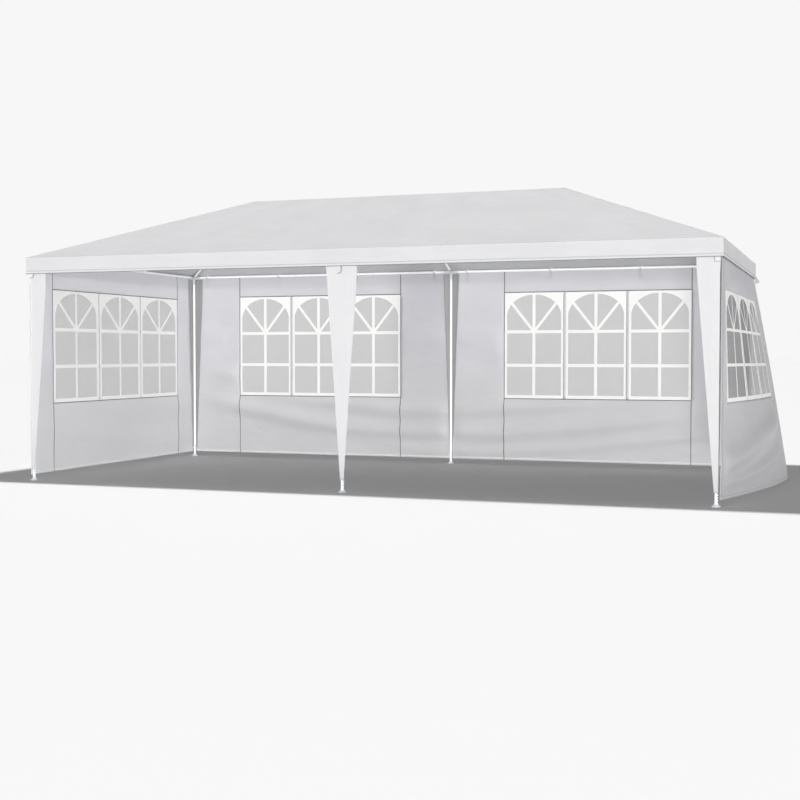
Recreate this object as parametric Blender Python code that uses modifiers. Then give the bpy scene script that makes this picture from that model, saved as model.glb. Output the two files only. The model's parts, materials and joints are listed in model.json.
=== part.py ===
# Marquee tent, 3 m by 6 m: a hipped cloth roof on six legs, walled on three sides and open in front.
# Units are metres, +Z is up, X runs along the tent, and the open front faces -Y.

import math
from collections import namedtuple

import bmesh
import bpy
from mathutils import Matrix, Vector

# Plan
LEG_X = 2.96
LEG_Y = 1.46
ROOF_HALF_LENGTH = 3.00
ROOF_HALF_WIDTH = 1.50

# Heights
EAVE_Z = 1.957
ROOF_EDGE_Z = 1.967
ROOF_SLOPE = 0.40
RIDGE_Z = ROOF_EDGE_Z + ROOF_SLOPE * ROOF_HALF_WIDTH
VALANCE_DROP = 0.137
HEM_Z = 0.05
RIDGE_HALF_LENGTH = ROOF_HALF_LENGTH - ROOF_HALF_WIDTH
FRAME_UNDER_ROOF = 0.026

# Frame
TUBE_RADIUS = 0.0125
TUBE_SIDES = 20
SLEEVE_RADIUS = 0.015
ELBOW_RADIUS = 0.019
SLEEVE_REACH = 0.075
SLEEVE_SIDES = 16
SOCKET_RADIUS = 0.0129
SOCKET_START = 0.040
FIT_GAP = 0.0005

# Feet
FOOT_RADIUS = 0.033
FOOT_SHOULDER_RADIUS = 0.0264
FOOT_SHOULDER_HEIGHT = 0.0076
FOOT_NECK_RADIUS = 0.0185
FOOT_NECK_HEIGHT = 0.0121
FOOT_EDGE = 0.004
FOOT_HEIGHT = 0.022
FOOT_COLLAR_RADIUS = 0.0165
FOOT_FLOOR = 0.006
FOOT_STEPS = 20

# Cloth
ROOF_THICKNESS = 0.004
ROOF_SEAM_GAP = 0.0003
WALL_THICKNESS = 0.003
COVER_THICKNESS = 0.0025
WALL_OUTER_FACE = 0.028
COVER_OUTER_FACE = 0.0225
COVER_LEG_FACE = 0.0153
WALL_TOP_Z = 1.952
WALL_END_PAST_LEG = 0.010

# Tabs that hang each wall on its eave tube
TAB_SHARES = (0.06, 0.35, 0.65, 0.94)
TAB_LENGTH = 0.030
TAB_INNER_FACE = 0.010
TAB_OUTER_FACE = 0.0265
TAB_LOW_Z = 1.940
TAB_HIGH_Z = 1.958

# Leg covers, which are narrower on the rear legs
COVER_TOP_Z = 1.935
COVER_BOTTOM_Z = 0.10
COVER_TOP_WIDTH = {"front": 0.29, "rear": 0.165}
COVER_BOTTOM_WIDTH = 0.030
COVER_WRAP = 0.010
COVER_TOP_ROW = 0.95
COVER_GRID = 8
CORNER_ARM_TOP = {"front": 0.185, "rear": 0.12}
CORNER_ARM_BOTTOM = 0.032
CORNER_GRID = 4

# Windows: the side walls have a longer and slightly lower row than each rear wall,
# and on the right wall it is lower again and sits nearer the front edge
WindowRow = namedtuple("WindowRow", "length low_z high_z shift sill rise")
REAR_ROW = WindowRow(length=1.85, low_z=0.68, high_z=1.73, shift=0.0, sill=0.033, rise=0.220)
SIDE_ROWS = {
    "left": WindowRow(length=2.25, low_z=0.68, high_z=1.70, shift=0.0, sill=0.033, rise=0.220),
    "right": WindowRow(length=2.25, low_z=0.765, high_z=1.59, shift=-0.15, sill=0.026, rise=0.165),
}
WINDOWS_IN_ROW = 3
ARCH_SIDE_FRAME = 0.040
ARCH_TOP_FRAME = 0.020
ARCH_STEPS = 12
FILM_THICKNESS = 0.0012
FILM_MARGIN = 0.02
FILM_GAP = 0.0008

# The right wall hangs loose below the valance and swings out at its lower rear corner
SWING_TOP_Z = 1.82
SWING_COLUMNS = 30
SWING_ROWS = 20
SWING_FILM_COLUMNS = 26
SWING_FILM_FIRST_COLUMN = 1
SWING_FILM_FIRST_ROW = 7
SWING_FILM_ROWS = 10
FLARE_OUT = 0.36
FLARE_FORWARD = 0.66
FLARE_FORWARD_POWER = 1.6
FLARE_DROP = 0.03
FLARE_SHIFT_X = -0.174

LONG_SIDE_SPOTS = (("left", -LEG_X), ("middle", 0.0), ("right", LEG_X))
SIDE_SIGNS = (("front", -1), ("rear", 1))
END_SIGNS = (("left", -1), ("right", 1))
UP = Vector((0, 0, 1))


def clear_scene():
    for item in list(bpy.data.objects):
        bpy.data.objects.remove(item, do_unlink=True)


def new_collection(name):
    made = bpy.data.collections.new(name)
    bpy.context.scene.collection.children.link(made)
    return made


def new_look(name, colour, roughness, metallic=0.0, alpha=1.0):
    look = bpy.data.materials.new(name)
    look.use_nodes = True
    shader = look.node_tree.nodes["Principled BSDF"]
    shader.inputs["Base Color"].default_value = (*colour, 1.0)
    shader.inputs["Roughness"].default_value = roughness
    shader.inputs["Metallic"].default_value = metallic
    shader.inputs["Alpha"].default_value = alpha
    return look


def move_to(item, collection):
    for old in list(item.users_collection):
        old.objects.unlink(item)
    collection.objects.link(item)


def finish(item, name, look):
    item.name = name
    item.data.name = name
    item.data.materials.clear()
    item.data.materials.append(look)
    move_to(item, tent)
    return item


def rod(start, end, radius, sides):
    span = end - start
    bpy.ops.mesh.primitive_cylinder_add(
        vertices=sides,
        radius=radius,
        depth=span.length,
        location=(start + end) / 2,
        rotation=span.to_track_quat("Z", "Y").to_euler(),
    )
    return bpy.context.object


def smooth(item):
    item.data.shade_smooth()
    item.data.set_sharp_from_angle(angle=math.radians(35))


def frame_tube(name, start, end):
    """A tube whose two ends sit in the sockets of the joints at start and end."""
    inset = (end - start).normalized() * (SOCKET_START + FIT_GAP)
    tube = rod(start + inset, end - inset, TUBE_RADIUS, TUBE_SIDES)
    smooth(tube)
    return finish(tube, name, tube_look)


def boolean(item, other, operation, solver="EXACT"):
    other.hide_render = True
    other.display_type = "WIRE"
    move_to(other, cutters)
    modifier = item.modifiers.new(operation.lower(), "BOOLEAN")
    modifier.operation = operation
    modifier.solver = solver
    modifier.object = other


def frame_joint(name, centre, targets):
    """A round elbow with one sleeve towards each target and a socket in each sleeve.

    The sleeves meet in coplanar faces that EXACT leaves open, so these cuts are MANIFOLD.
    """
    bpy.ops.mesh.primitive_uv_sphere_add(
        segments=SLEEVE_SIDES, ring_count=SLEEVE_SIDES // 2, radius=ELBOW_RADIUS, location=centre
    )
    joint = bpy.context.object
    ways = [(target - centre).normalized() for target in targets]
    for way in ways:
        sleeve = rod(centre, centre + way * SLEEVE_REACH, SLEEVE_RADIUS, SLEEVE_SIDES)
        boolean(joint, sleeve, "UNION", "MANIFOLD")
    for way in ways:
        socket = rod(
            centre + way * SOCKET_START,
            centre + way * (SLEEVE_REACH + ELBOW_RADIUS),
            SOCKET_RADIUS,
            SLEEVE_SIDES,
        )
        boolean(joint, socket, "DIFFERENCE", "MANIFOLD")
    return finish(joint, name, joint_look)


def leg(name, x, y):
    upright = rod(
        Vector((x, y, FOOT_FLOOR + FIT_GAP)),
        Vector((x, y, EAVE_Z - SOCKET_START - FIT_GAP)),
        TUBE_RADIUS,
        TUBE_SIDES,
    )
    smooth(upright)
    return finish(upright, name, tube_look)


def foot(name, x, y):
    """A low dome with a bore for the leg, turned from its profile."""
    profile = (
        (0.0, FOOT_FLOOR),
        (SOCKET_RADIUS, FOOT_FLOOR),
        (SOCKET_RADIUS, FOOT_HEIGHT),
        (FOOT_COLLAR_RADIUS, FOOT_HEIGHT),
        (FOOT_NECK_RADIUS, FOOT_NECK_HEIGHT),
        (FOOT_SHOULDER_RADIUS, FOOT_SHOULDER_HEIGHT),
        (FOOT_RADIUS, FOOT_EDGE),
        (FOOT_RADIUS, 0.0),
        (0.0, 0.0),
    )
    mesh = bpy.data.meshes.new(name)
    points = [(radius, 0.0, height) for radius, height in profile]
    mesh.from_pydata(points, [(i, i + 1) for i in range(len(points) - 1)], [])
    dome = bpy.data.objects.new(name, mesh)
    dome.location = (x, y, 0.0)
    bpy.context.scene.collection.objects.link(dome)
    turn = dome.modifiers.new("turn", "SCREW")
    turn.steps = FOOT_STEPS
    turn.render_steps = FOOT_STEPS
    turn.use_merge_vertices = True
    turn.merge_threshold = 0.0001
    return finish(dome, name, foot_look)


def cloth_sheet(name, look, across, up, place, thickness):
    """A grid whose corners run from 0 to 1 both ways, put in place and thickened inwards."""
    bpy.ops.mesh.primitive_grid_add(x_subdivisions=across, y_subdivisions=up, size=1)
    sheet = bpy.context.object
    for corner in sheet.data.vertices:
        corner.co = place(corner.co.x + 0.5, corner.co.y + 0.5)
    thicken = sheet.modifiers.new("thicken", "SOLIDIFY")
    thicken.thickness = thickness
    thicken.offset = -1
    thicken.use_even_offset = True
    return finish(sheet, name, look)


def blend(low, high, share):
    return low + (high - low) * share


def cover_face(up):
    """A leg cover clears the joint at its top and lies against the leg below it."""
    return COVER_OUTER_FACE if up > COVER_TOP_ROW else COVER_LEG_FACE


def middle_leg_cover(name, side, top_width):
    """A flap before a middle leg, wide under the eave, whose edges curl inwards."""

    def place(across, up):
        width = blend(COVER_BOTTOM_WIDTH, top_width, up)
        half_width = width / 2
        spread = 2 * across - 1
        face = LEG_Y + cover_face(up) - COVER_WRAP * width / top_width * spread * spread
        return Vector((-side * spread * half_width, side * face, blend(COVER_BOTTOM_Z, COVER_TOP_Z, up)))

    return cloth_sheet(name, cover_look, COVER_GRID, COVER_GRID, place, COVER_THICKNESS)


def corner_leg_cover(name, end, side, top_arm):
    """A flap folded round a corner leg, whose two arms narrow to the leg's foot."""

    def place(across, up):
        arm = blend(CORNER_ARM_BOTTOM, top_arm, up)
        along_x = arm * max(0.0, 1 - 2 * across)
        along_y = arm * max(0.0, 2 * across - 1)
        if end * side > 0:
            along_x = arm * max(0.0, 2 * across - 1)
            along_y = arm * max(0.0, 1 - 2 * across)
        x = end * (LEG_X + cover_face(up) - along_x)
        y = side * (LEG_Y + cover_face(up) - along_y)
        return Vector((x, y, blend(COVER_BOTTOM_Z, COVER_TOP_Z, up)))

    return cloth_sheet(name, cover_look, CORNER_GRID, CORNER_GRID, place, COVER_THICKNESS)


def swing(share_along, share_down):
    """How far the loose right wall swings out, forward and down."""
    reach = share_along * (2 - share_along)
    return Vector(
        (
            FLARE_OUT * reach * share_down,
            -FLARE_FORWARD * share_along**FLARE_FORWARD_POWER * share_down * share_down,
            -FLARE_DROP * share_along * share_down,
        )
    )


def arch_cutter(centre, outward, depth, row):
    """A window opening's outline, extruded across the wall."""
    half_width = row.length / WINDOWS_IN_ROW / 2 - ARCH_SIDE_FRAME
    spring_z = row.high_z - ARCH_TOP_FRAME - row.rise
    sill_z = row.low_z + row.sill
    outline = bpy.data.curves.new("arch", "CURVE")
    outline.dimensions = "2D"
    outline.fill_mode = "BOTH"
    outline.extrude = depth
    points = [(-half_width, sill_z), (half_width, sill_z)]
    for step in range(ARCH_STEPS + 1):
        angle = math.pi * step / ARCH_STEPS
        points.append((half_width * math.cos(angle), spring_z + row.rise * math.sin(angle)))
    spline = outline.splines.new("POLY")
    spline.points.add(len(points) - 1)
    for point, (x, z) in zip(spline.points, points):
        point.co = (x, z, 0.0, 1.0)
    spline.use_cyclic_u = True
    drawn = bpy.data.objects.new("arch", outline)
    bpy.context.scene.collection.objects.link(drawn)
    bpy.context.view_layer.update()
    mesh = bpy.data.meshes.new_from_object(drawn.evaluated_get(bpy.context.evaluated_depsgraph_get()))
    bpy.data.objects.remove(drawn, do_unlink=True)
    welded = bmesh.new()
    welded.from_mesh(mesh)
    bmesh.ops.remove_doubles(welded, verts=welded.verts, dist=0.0001)
    bmesh.ops.recalc_face_normals(welded, faces=welded.faces)
    welded.to_mesh(mesh)
    welded.free()
    along = UP.cross(outward)
    stand = Matrix((along, UP, outward)).transposed().to_4x4()
    stand.translation = centre
    mesh.transform(stand)
    cutter = bpy.data.objects.new("arch_cutter", mesh)
    bpy.context.scene.collection.objects.link(cutter)
    return cutter


def wall_point(centre, outward, length, face, z, along_share, swings):
    along = UP.cross(outward)
    point = centre + along * (length * (along_share - 0.5)) + outward * face + UP * z
    if swings:
        down_share = (SWING_TOP_Z - z) / (SWING_TOP_Z - HEM_Z)
        point += swing(along_share, max(0.0, down_share))
    return point


def hanging_tab(centre, outward, length, share):
    """A block from the wall's inner face to the eave tube."""
    along = UP.cross(outward)
    bpy.ops.mesh.primitive_cube_add(size=1)
    tab = bpy.context.object
    depth = TAB_OUTER_FACE - TAB_INNER_FACE
    middle = centre + along * (length * (share - 0.5)) + outward * (TAB_INNER_FACE + depth / 2)
    middle.z = (TAB_LOW_Z + TAB_HIGH_Z) / 2
    sizes = Matrix.Diagonal((TAB_LENGTH, TAB_HIGH_Z - TAB_LOW_Z, depth))
    turned = (Matrix((along, UP, outward)).transposed() @ sizes).to_4x4()
    turned.translation = middle
    tab.data.transform(turned)
    return tab


def wall(name, centre, outward, length, row, swings=False):
    """A wall panel hung outside the legs, with its row of arched openings cut through."""
    columns, rows = (SWING_COLUMNS, SWING_ROWS) if swings else (2, 2)

    def place(across, up):
        z = blend(HEM_Z, WALL_TOP_Z, up)
        return wall_point(centre, outward, length, WALL_OUTER_FACE, z, across, swings)

    panel = cloth_sheet(name, wall_look, columns, rows, place, WALL_THICKNESS)
    along = UP.cross(outward)
    pitch = row.length / WINDOWS_IN_ROW
    for number in range(WINDOWS_IN_ROW):
        middle = centre + along * (row.shift + pitch * (number - (WINDOWS_IN_ROW - 1) / 2))
        reach = FLARE_OUT + WALL_OUTER_FACE
        cutter = arch_cutter(middle, outward, reach, row)
        boolean(panel, cutter, "DIFFERENCE")
    for share in TAB_SHARES:
        boolean(panel, hanging_tab(centre, outward, length, share), "UNION")
    eave = centre + UP * EAVE_Z
    tube_room = rod(eave - along * length / 2, eave + along * length / 2, SOCKET_RADIUS, TUBE_SIDES)
    boolean(panel, tube_room, "DIFFERENCE")
    return panel


def window_film(name, centre, outward, length, row, swings=False):
    """The clear film inside a wall, across its whole row of openings.

    On the wall that swings out it takes the wall's own rows and columns, so that it stays beside it.
    """
    face = WALL_OUTER_FACE - WALL_THICKNESS - FILM_GAP
    columns, rows = 1, 1
    low_z, high_z = row.low_z - FILM_MARGIN, row.high_z + FILM_MARGIN
    middle_share = 0.5 + row.shift / length
    half_share = (row.length / 2 + FILM_MARGIN) / length
    first_share, last_share = middle_share - half_share, middle_share + half_share
    if swings:
        columns, rows = SWING_FILM_COLUMNS, SWING_FILM_ROWS
        low_z = blend(HEM_Z, WALL_TOP_Z, SWING_FILM_FIRST_ROW / SWING_ROWS)
        high_z = blend(HEM_Z, WALL_TOP_Z, (SWING_FILM_FIRST_ROW + SWING_FILM_ROWS) / SWING_ROWS)
        first_share = SWING_FILM_FIRST_COLUMN / SWING_COLUMNS
        last_share = (SWING_FILM_FIRST_COLUMN + SWING_FILM_COLUMNS) / SWING_COLUMNS

    def place(across, up):
        z = blend(low_z, high_z, up)
        share = blend(first_share, last_share, across)
        return wall_point(centre, outward, length, face, z, share, swings)

    return cloth_sheet(name, film_look, columns, rows, place, FILM_THICKNESS)


def slice_off(body, point, outwards):
    """Removes what lies beyond a plane and closes the cut."""
    cut = bmesh.ops.bisect_plane(
        body,
        geom=body.verts[:] + body.edges[:] + body.faces[:],
        plane_co=point,
        plane_no=outwards,
        clear_outer=True,
    )
    rim = [part for part in cut["geom_cut"] if isinstance(part, bmesh.types.BMEdge)]
    bmesh.ops.edgeloop_fill(body, edges=rim)


def roof_shell():
    """A box cut by the four roof slopes, opened below and thickened inwards."""
    spare_height = 0.2
    low_z = ROOF_EDGE_Z - VALANCE_DROP
    high_z = RIDGE_Z + spare_height
    body = bmesh.new()
    bmesh.ops.create_cube(body, size=1)
    bmesh.ops.scale(body, vec=(2 * ROOF_HALF_LENGTH, 2 * ROOF_HALF_WIDTH, high_z - low_z), verts=body.verts)
    bmesh.ops.translate(body, vec=(0, 0, (low_z + high_z) / 2), verts=body.verts)
    for way in (Vector((1, 0, 0)), Vector((-1, 0, 0)), Vector((0, 1, 0)), Vector((0, -1, 0))):
        edge = Vector((way.x * ROOF_HALF_LENGTH, way.y * ROOF_HALF_WIDTH, ROOF_EDGE_Z))
        slice_off(body, edge, way * ROOF_SLOPE + UP)
    bmesh.ops.recalc_face_normals(body, faces=body.faces)
    below = [face for face in body.faces if face.normal.z < -0.9]
    bmesh.ops.delete(body, geom=below, context="FACES_ONLY")
    mesh = bpy.data.meshes.new("roof_shell")
    body.to_mesh(mesh)
    body.free()
    shell = bpy.data.objects.new("roof_shell", mesh)
    bpy.context.scene.collection.objects.link(shell)
    thicken = shell.modifiers.new("thicken", "SOLIDIFY")
    thicken.thickness = ROOF_THICKNESS
    thicken.offset = -1
    thicken.use_even_offset = True
    bpy.context.view_layer.update()
    thick = bpy.data.meshes.new_from_object(shell.evaluated_get(bpy.context.evaluated_depsgraph_get()))
    bpy.data.objects.remove(shell, do_unlink=True)
    return thick


def roof_panel(name, shell, cuts):
    """One sewn panel of the roof with its own length of valance, mitred along the hips."""
    body = bmesh.new()
    body.from_mesh(shell)
    for point, outwards in cuts:
        slice_off(body, point - outwards * ROOF_SEAM_GAP / 2, outwards)
    bmesh.ops.recalc_face_normals(body, faces=body.faces)
    mesh = bpy.data.meshes.new(name)
    body.to_mesh(mesh)
    body.free()
    panel = bpy.data.objects.new(name, mesh)
    bpy.context.scene.collection.objects.link(panel)
    return finish(panel, name, roof_look)


def add_roof():
    shell = roof_shell()
    ridge_ends = {spot: Vector((sign * RIDGE_HALF_LENGTH, 0, 0)) for spot, sign in END_SIGNS}
    for side, sign in SIDE_SIGNS:
        cuts = [(Vector((0, 0, 0)), Vector((0, -sign, 0)))]
        for spot, end in END_SIGNS:
            cuts.append((ridge_ends[spot], Vector((end, -sign, 0)).normalized()))
        roof_panel(f"roof_{side}", shell, cuts)
    for spot, end in END_SIGNS:
        cuts = [(ridge_ends[spot], Vector((-end, sign, 0)).normalized()) for _, sign in SIDE_SIGNS]
        roof_panel(f"roof_{spot}", shell, cuts)


def add_frame():
    ridge_z = RIDGE_Z - FRAME_UNDER_ROOF
    eave = {
        (side, spot): Vector((x, sign * LEG_Y, EAVE_Z))
        for side, sign in SIDE_SIGNS
        for spot, x in LONG_SIDE_SPOTS
    }
    ridge = {
        "left": Vector((-RIDGE_HALF_LENGTH, 0, ridge_z)),
        "middle": Vector((0, 0, ridge_z)),
        "right": Vector((RIDGE_HALF_LENGTH, 0, ridge_z)),
    }
    for side, _ in SIDE_SIGNS:
        opposite = "rear" if side == "front" else "front"
        for spot, x in LONG_SIDE_SPOTS:
            centre = eave[side, spot]
            leg(f"leg_{side}_{spot}", centre.x, centre.y)
            foot(f"foot_{side}_{spot}", centre.x, centre.y)
            targets = [centre - UP, ridge[spot]]
            if spot == "middle":
                targets += [eave[side, "left"], eave[side, "right"]]
            else:
                targets += [eave[side, "middle"], eave[opposite, spot]]
            frame_joint(f"eave_joint_{side}_{spot}", centre, targets)
            kind = "middle_rafter" if spot == "middle" else "hip_rafter"
            label = f"{kind}_{side}" if spot == "middle" else f"{kind}_{side}_{spot}"
            frame_tube(label, centre, ridge[spot])
        for spot, _ in END_SIGNS:
            frame_tube(f"eave_tube_{side}_{spot}", eave[side, spot], eave[side, "middle"])
    for spot, _ in END_SIGNS:
        frame_tube(f"eave_tube_{spot}", eave["front", spot], eave["rear", spot])
        frame_tube(f"ridge_tube_{spot}", ridge[spot], ridge["middle"])
    for spot, centre in ridge.items():
        targets = [eave["front", spot], eave["rear", spot]]
        targets += [ridge["left"], ridge["right"]] if spot == "middle" else [ridge["middle"]]
        frame_joint(f"ridge_joint_{spot}", centre, targets)


def add_cloth():
    add_roof()
    for side, sign in SIDE_SIGNS:
        middle_leg_cover(f"leg_cover_{side}_middle", sign, COVER_TOP_WIDTH[side])
        for spot, end in END_SIGNS:
            corner_leg_cover(f"leg_cover_{side}_{spot}", end, sign, CORNER_ARM_TOP[side])
    long_half = LEG_X + WALL_END_PAST_LEG
    rear_length = long_half - FIT_GAP
    outward = Vector((0, 1, 0))
    for spot, end in END_SIGNS:
        centre = Vector((end * (long_half + FIT_GAP) / 2, LEG_Y, 0))
        wall(f"rear_wall_{spot}", centre, outward, rear_length, REAR_ROW)
        window_film(f"rear_window_{spot}", centre, outward, rear_length, REAR_ROW)
    side_length = 2 * (LEG_Y + WALL_END_PAST_LEG)
    for spot, end in END_SIGNS:
        centre = Vector((end * LEG_X, 0, 0))
        outward = Vector((end, 0, 0))
        swings = spot == "right"
        wall(f"{spot}_wall", centre, outward, side_length, SIDE_ROWS[spot], swings)
        window_film(f"{spot}_window", centre, outward, side_length, SIDE_ROWS[spot], swings)


def centre_on_origin():
    """Moves the tent so that the middle of its whole width is over the origin."""
    for item in list(tent.objects) + list(cutters.objects):
        item.location.x += FLARE_SHIFT_X


clear_scene()
tent = new_collection("MarqueeTent")
cutters = new_collection("Cutters")
tube_look = new_look("white_steel_tube", (0.87, 0.89, 0.91), 0.30)
joint_look = new_look("pale_grey_joint", (0.72, 0.73, 0.75), 0.45)
foot_look = new_look("white_plastic_foot", (0.86, 0.88, 0.90), 0.40)
roof_look = new_look("white_roof_cloth", (0.78, 0.78, 0.79), 0.55)
cover_look = new_look("white_cover_cloth", (0.82, 0.82, 0.83), 0.55)
wall_look = new_look("white_wall_cloth", (0.74, 0.74, 0.77), 0.55)
film_look = new_look("clear_window_film", (0.80, 0.81, 0.82), 0.15, alpha=0.45)
add_frame()
add_cloth()
centre_on_origin()
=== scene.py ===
import json
import math
from collections import namedtuple

import bmesh
import bpy
from mathutils import Matrix, Vector, noise

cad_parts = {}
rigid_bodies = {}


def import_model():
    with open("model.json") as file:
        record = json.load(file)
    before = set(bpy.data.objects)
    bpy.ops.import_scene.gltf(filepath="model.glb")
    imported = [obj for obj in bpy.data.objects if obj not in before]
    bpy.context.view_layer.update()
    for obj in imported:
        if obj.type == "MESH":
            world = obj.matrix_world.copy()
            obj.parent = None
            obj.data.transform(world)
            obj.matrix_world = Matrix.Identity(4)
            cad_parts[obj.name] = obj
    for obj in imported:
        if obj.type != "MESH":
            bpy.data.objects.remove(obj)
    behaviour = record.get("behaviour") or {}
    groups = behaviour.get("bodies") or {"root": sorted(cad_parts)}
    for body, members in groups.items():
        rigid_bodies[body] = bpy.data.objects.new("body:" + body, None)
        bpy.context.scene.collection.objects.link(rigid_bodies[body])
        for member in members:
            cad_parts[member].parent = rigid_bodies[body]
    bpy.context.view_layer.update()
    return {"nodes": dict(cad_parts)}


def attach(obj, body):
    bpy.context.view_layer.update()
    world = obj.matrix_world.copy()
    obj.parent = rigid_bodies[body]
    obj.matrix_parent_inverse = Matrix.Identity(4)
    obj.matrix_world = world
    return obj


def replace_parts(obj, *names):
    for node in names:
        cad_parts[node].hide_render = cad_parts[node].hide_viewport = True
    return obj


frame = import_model()
nodes = frame["nodes"]

UP = Vector((0, 0, 1))
TENT_MIDDLE = Vector((-0.174, 0, 0))

# Plan and heights, the same as the solids
LEG_X = 2.96
LEG_Y = 1.46
ROOF_HALF_LENGTH = 3.00
ROOF_HALF_WIDTH = 1.50
RIDGE_HALF_LENGTH = 1.50
EAVE_Z = 1.957
ROOF_EDGE_Z = 1.967
ROOF_SLOPE = 0.40
VALANCE_BOTTOM_Z = 1.830
HEM_Z = 0.05
WALL_TOP_Z = 1.952
TUBE_RADIUS = 0.0125
SLEEVE_RADIUS = 0.015

TAB_SHARES = (0.06, 0.35, 0.65, 0.94)
STRAP_WIDTH = 0.030
STRAP_RADIUS = 0.0138

# Cloth
ROOF_CLOTH = 0.0020
WALL_CLOTH = 0.0016
COVER_CLOTH = 0.0014
FILM = 0.0008
WALL_DEPTH = 0.0265
SEAM_DEPTH = WALL_DEPTH - 0.0013
HEM_WIDTH = 0.024
# Painted shade on the wall cloth, as heights above the hem: full below the first, gone above the second
WALL_SHADE_FULL_BELOW_Z = 0.45
WALL_SHADE_GONE_ABOVE_Z = 1.30
SEAM_WIDTH = 0.0075

# Window rows: half the length, low and high edge, middle along the wall, sill, height of the arch,
# the two rails, how broad the bars are beside those of the rear wall, the white frame beside the
# panes, and the strip of wall cloth between two windows
WindowRow = namedtuple(
    "WindowRow", "half low_z high_z shift sill rise upper_rail_z lower_rail_z bars frame strip"
)
REAR_ROW = WindowRow(0.925, 0.675, 1.735, 0.0, 0.032, 0.215, 1.343, 1.006, 1.0, 0.023, 0.024)
LEFT_ROW = WindowRow(1.125, 0.675, 1.703, 0.0, 0.034, 0.218, 1.343, 1.006, 1.0, 0.035, 0.014)
RIGHT_ROW = WindowRow(1.125, 0.760, 1.595, -0.15, 0.031, 0.167, 1.303, 1.038, 0.72, 0.034, 0.014)
ROWS = {"rear_left": REAR_ROW, "rear_right": REAR_ROW, "left": LEFT_ROW, "right": RIGHT_ROW}
WINDOWS_IN_ROW = 3
ARCH_TOP_FRAME = 0.020
RAIL_WIDTH = 0.031
POST_WIDTH = 0.030
SPOKE_WIDTH = 0.027
SPOKE_TURN = math.radians(37)

# The right wall hangs loose below the valance and swings out at its lower rear corner
SWING_TOP_Z = 1.82
FLARE_OUT = 0.36
FLARE_FORWARD = 0.66
FLARE_FORWARD_POWER = 1.6
FLARE_DROP = 0.03
CORNER_ROUND = 0.09

SIDES = (("front", -1), ("rear", 1))
ENDS = (("left", -1), ("right", 1))
SPOTS = (("left", -LEG_X), ("middle", 0.0), ("right", LEG_X))


# ---------------------------------------------------------------- materials


def new_look(name, colour, roughness):
    look = bpy.data.materials.new(name)
    look.use_nodes = True
    tree = look.node_tree
    shader = tree.nodes["Principled BSDF"]
    shader.inputs["Base Color"].default_value = (*colour, 1)
    shader.inputs["Roughness"].default_value = roughness
    return look, tree, shader


def add(tree, kind, **values):
    made = tree.nodes.new(kind)
    for key, value in values.items():
        setattr(made, key, value)
    return made


def maths(tree, operation, first, second):
    made = add(tree, "ShaderNodeMath", operation=operation)
    for socket, value in zip(made.inputs, (first, second)):
        if isinstance(value, (int, float)):
            socket.default_value = value
        else:
            tree.links.new(value, socket)
    return made.outputs[0]


def coordinates(tree, source, scale):
    where = add(tree, "ShaderNodeTexCoord")
    mapping = add(tree, "ShaderNodeMapping")
    mapping.inputs["Scale"].default_value = scale
    tree.links.new(where.outputs[source], mapping.inputs["Vector"])
    return mapping.outputs["Vector"]


def grain(tree, source, scale, size, detail=3.0, roughness=0.5, distortion=0.0):
    texture = add(tree, "ShaderNodeTexNoise")
    texture.inputs["Scale"].default_value = size
    texture.inputs["Detail"].default_value = detail
    texture.inputs["Roughness"].default_value = roughness
    texture.inputs["Distortion"].default_value = distortion
    tree.links.new(coordinates(tree, source, scale), texture.inputs["Vector"])
    return texture.outputs["Fac"]


def ramp(tree, fac, low, high, low_at=0.3, high_at=0.7):
    made = add(tree, "ShaderNodeValToRGB")
    made.color_ramp.elements[0].position = low_at
    made.color_ramp.elements[0].color = (*low, 1)
    made.color_ramp.elements[1].position = high_at
    made.color_ramp.elements[1].color = (*high, 1)
    tree.links.new(fac, made.inputs["Fac"])
    return made.outputs["Color"]


def bump(tree, height, strength, distance, before=None):
    made = add(tree, "ShaderNodeBump")
    made.inputs["Strength"].default_value = strength
    made.inputs["Distance"].default_value = distance
    tree.links.new(height, made.inputs["Height"])
    if before is not None:
        tree.links.new(before, made.inputs["Normal"])
    return made.outputs["Normal"]


def weave(tree, tape):
    """Flat tapes, tape wide, woven over and under: high where both meet."""
    waves = []
    for way in ("X", "Y"):
        texture = add(tree, "ShaderNodeTexWave", wave_type="BANDS", bands_direction=way)
        texture.inputs["Scale"].default_value = 0.1571 / tape
        texture.inputs["Distortion"].default_value = 0.0
        tree.links.new(coordinates(tree, "UV", (1, 1, 1)), texture.inputs["Vector"])
        waves.append(maths(tree, "SUBTRACT", texture.outputs["Fac"], 0.5))
    return maths(tree, "MULTIPLY", *waves)


def painted_low_shade(tree, low_shaded_colour, high_colour):
    """Painted shade: a darker, greyer colour low on a wall, blending into the lit colour higher up; the wall's UVs
    are its own width and height.
    """
    where = add(tree, "ShaderNodeTexCoord")
    parts = add(tree, "ShaderNodeSeparateXYZ")
    tree.links.new(where.outputs["UV"], parts.inputs["Vector"])
    rise = add(tree, "ShaderNodeMapRange", interpolation_type="SMOOTHSTEP")
    rise.inputs["From Min"].default_value = WALL_SHADE_FULL_BELOW_Z
    rise.inputs["From Max"].default_value = WALL_SHADE_GONE_ABOVE_Z
    tree.links.new(parts.outputs["Y"], rise.inputs["Value"])
    mixed = add(tree, "ShaderNodeMix", data_type="RGBA")
    tree.links.new(rise.outputs["Result"], mixed.inputs["Factor"])
    tree.links.new(low_shaded_colour, mixed.inputs[6])
    tree.links.new(high_colour, mixed.inputs[7])
    return mixed.outputs[2]


def scaled(colour, share):
    return tuple(min(1.0, part * share) for part in colour)


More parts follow.
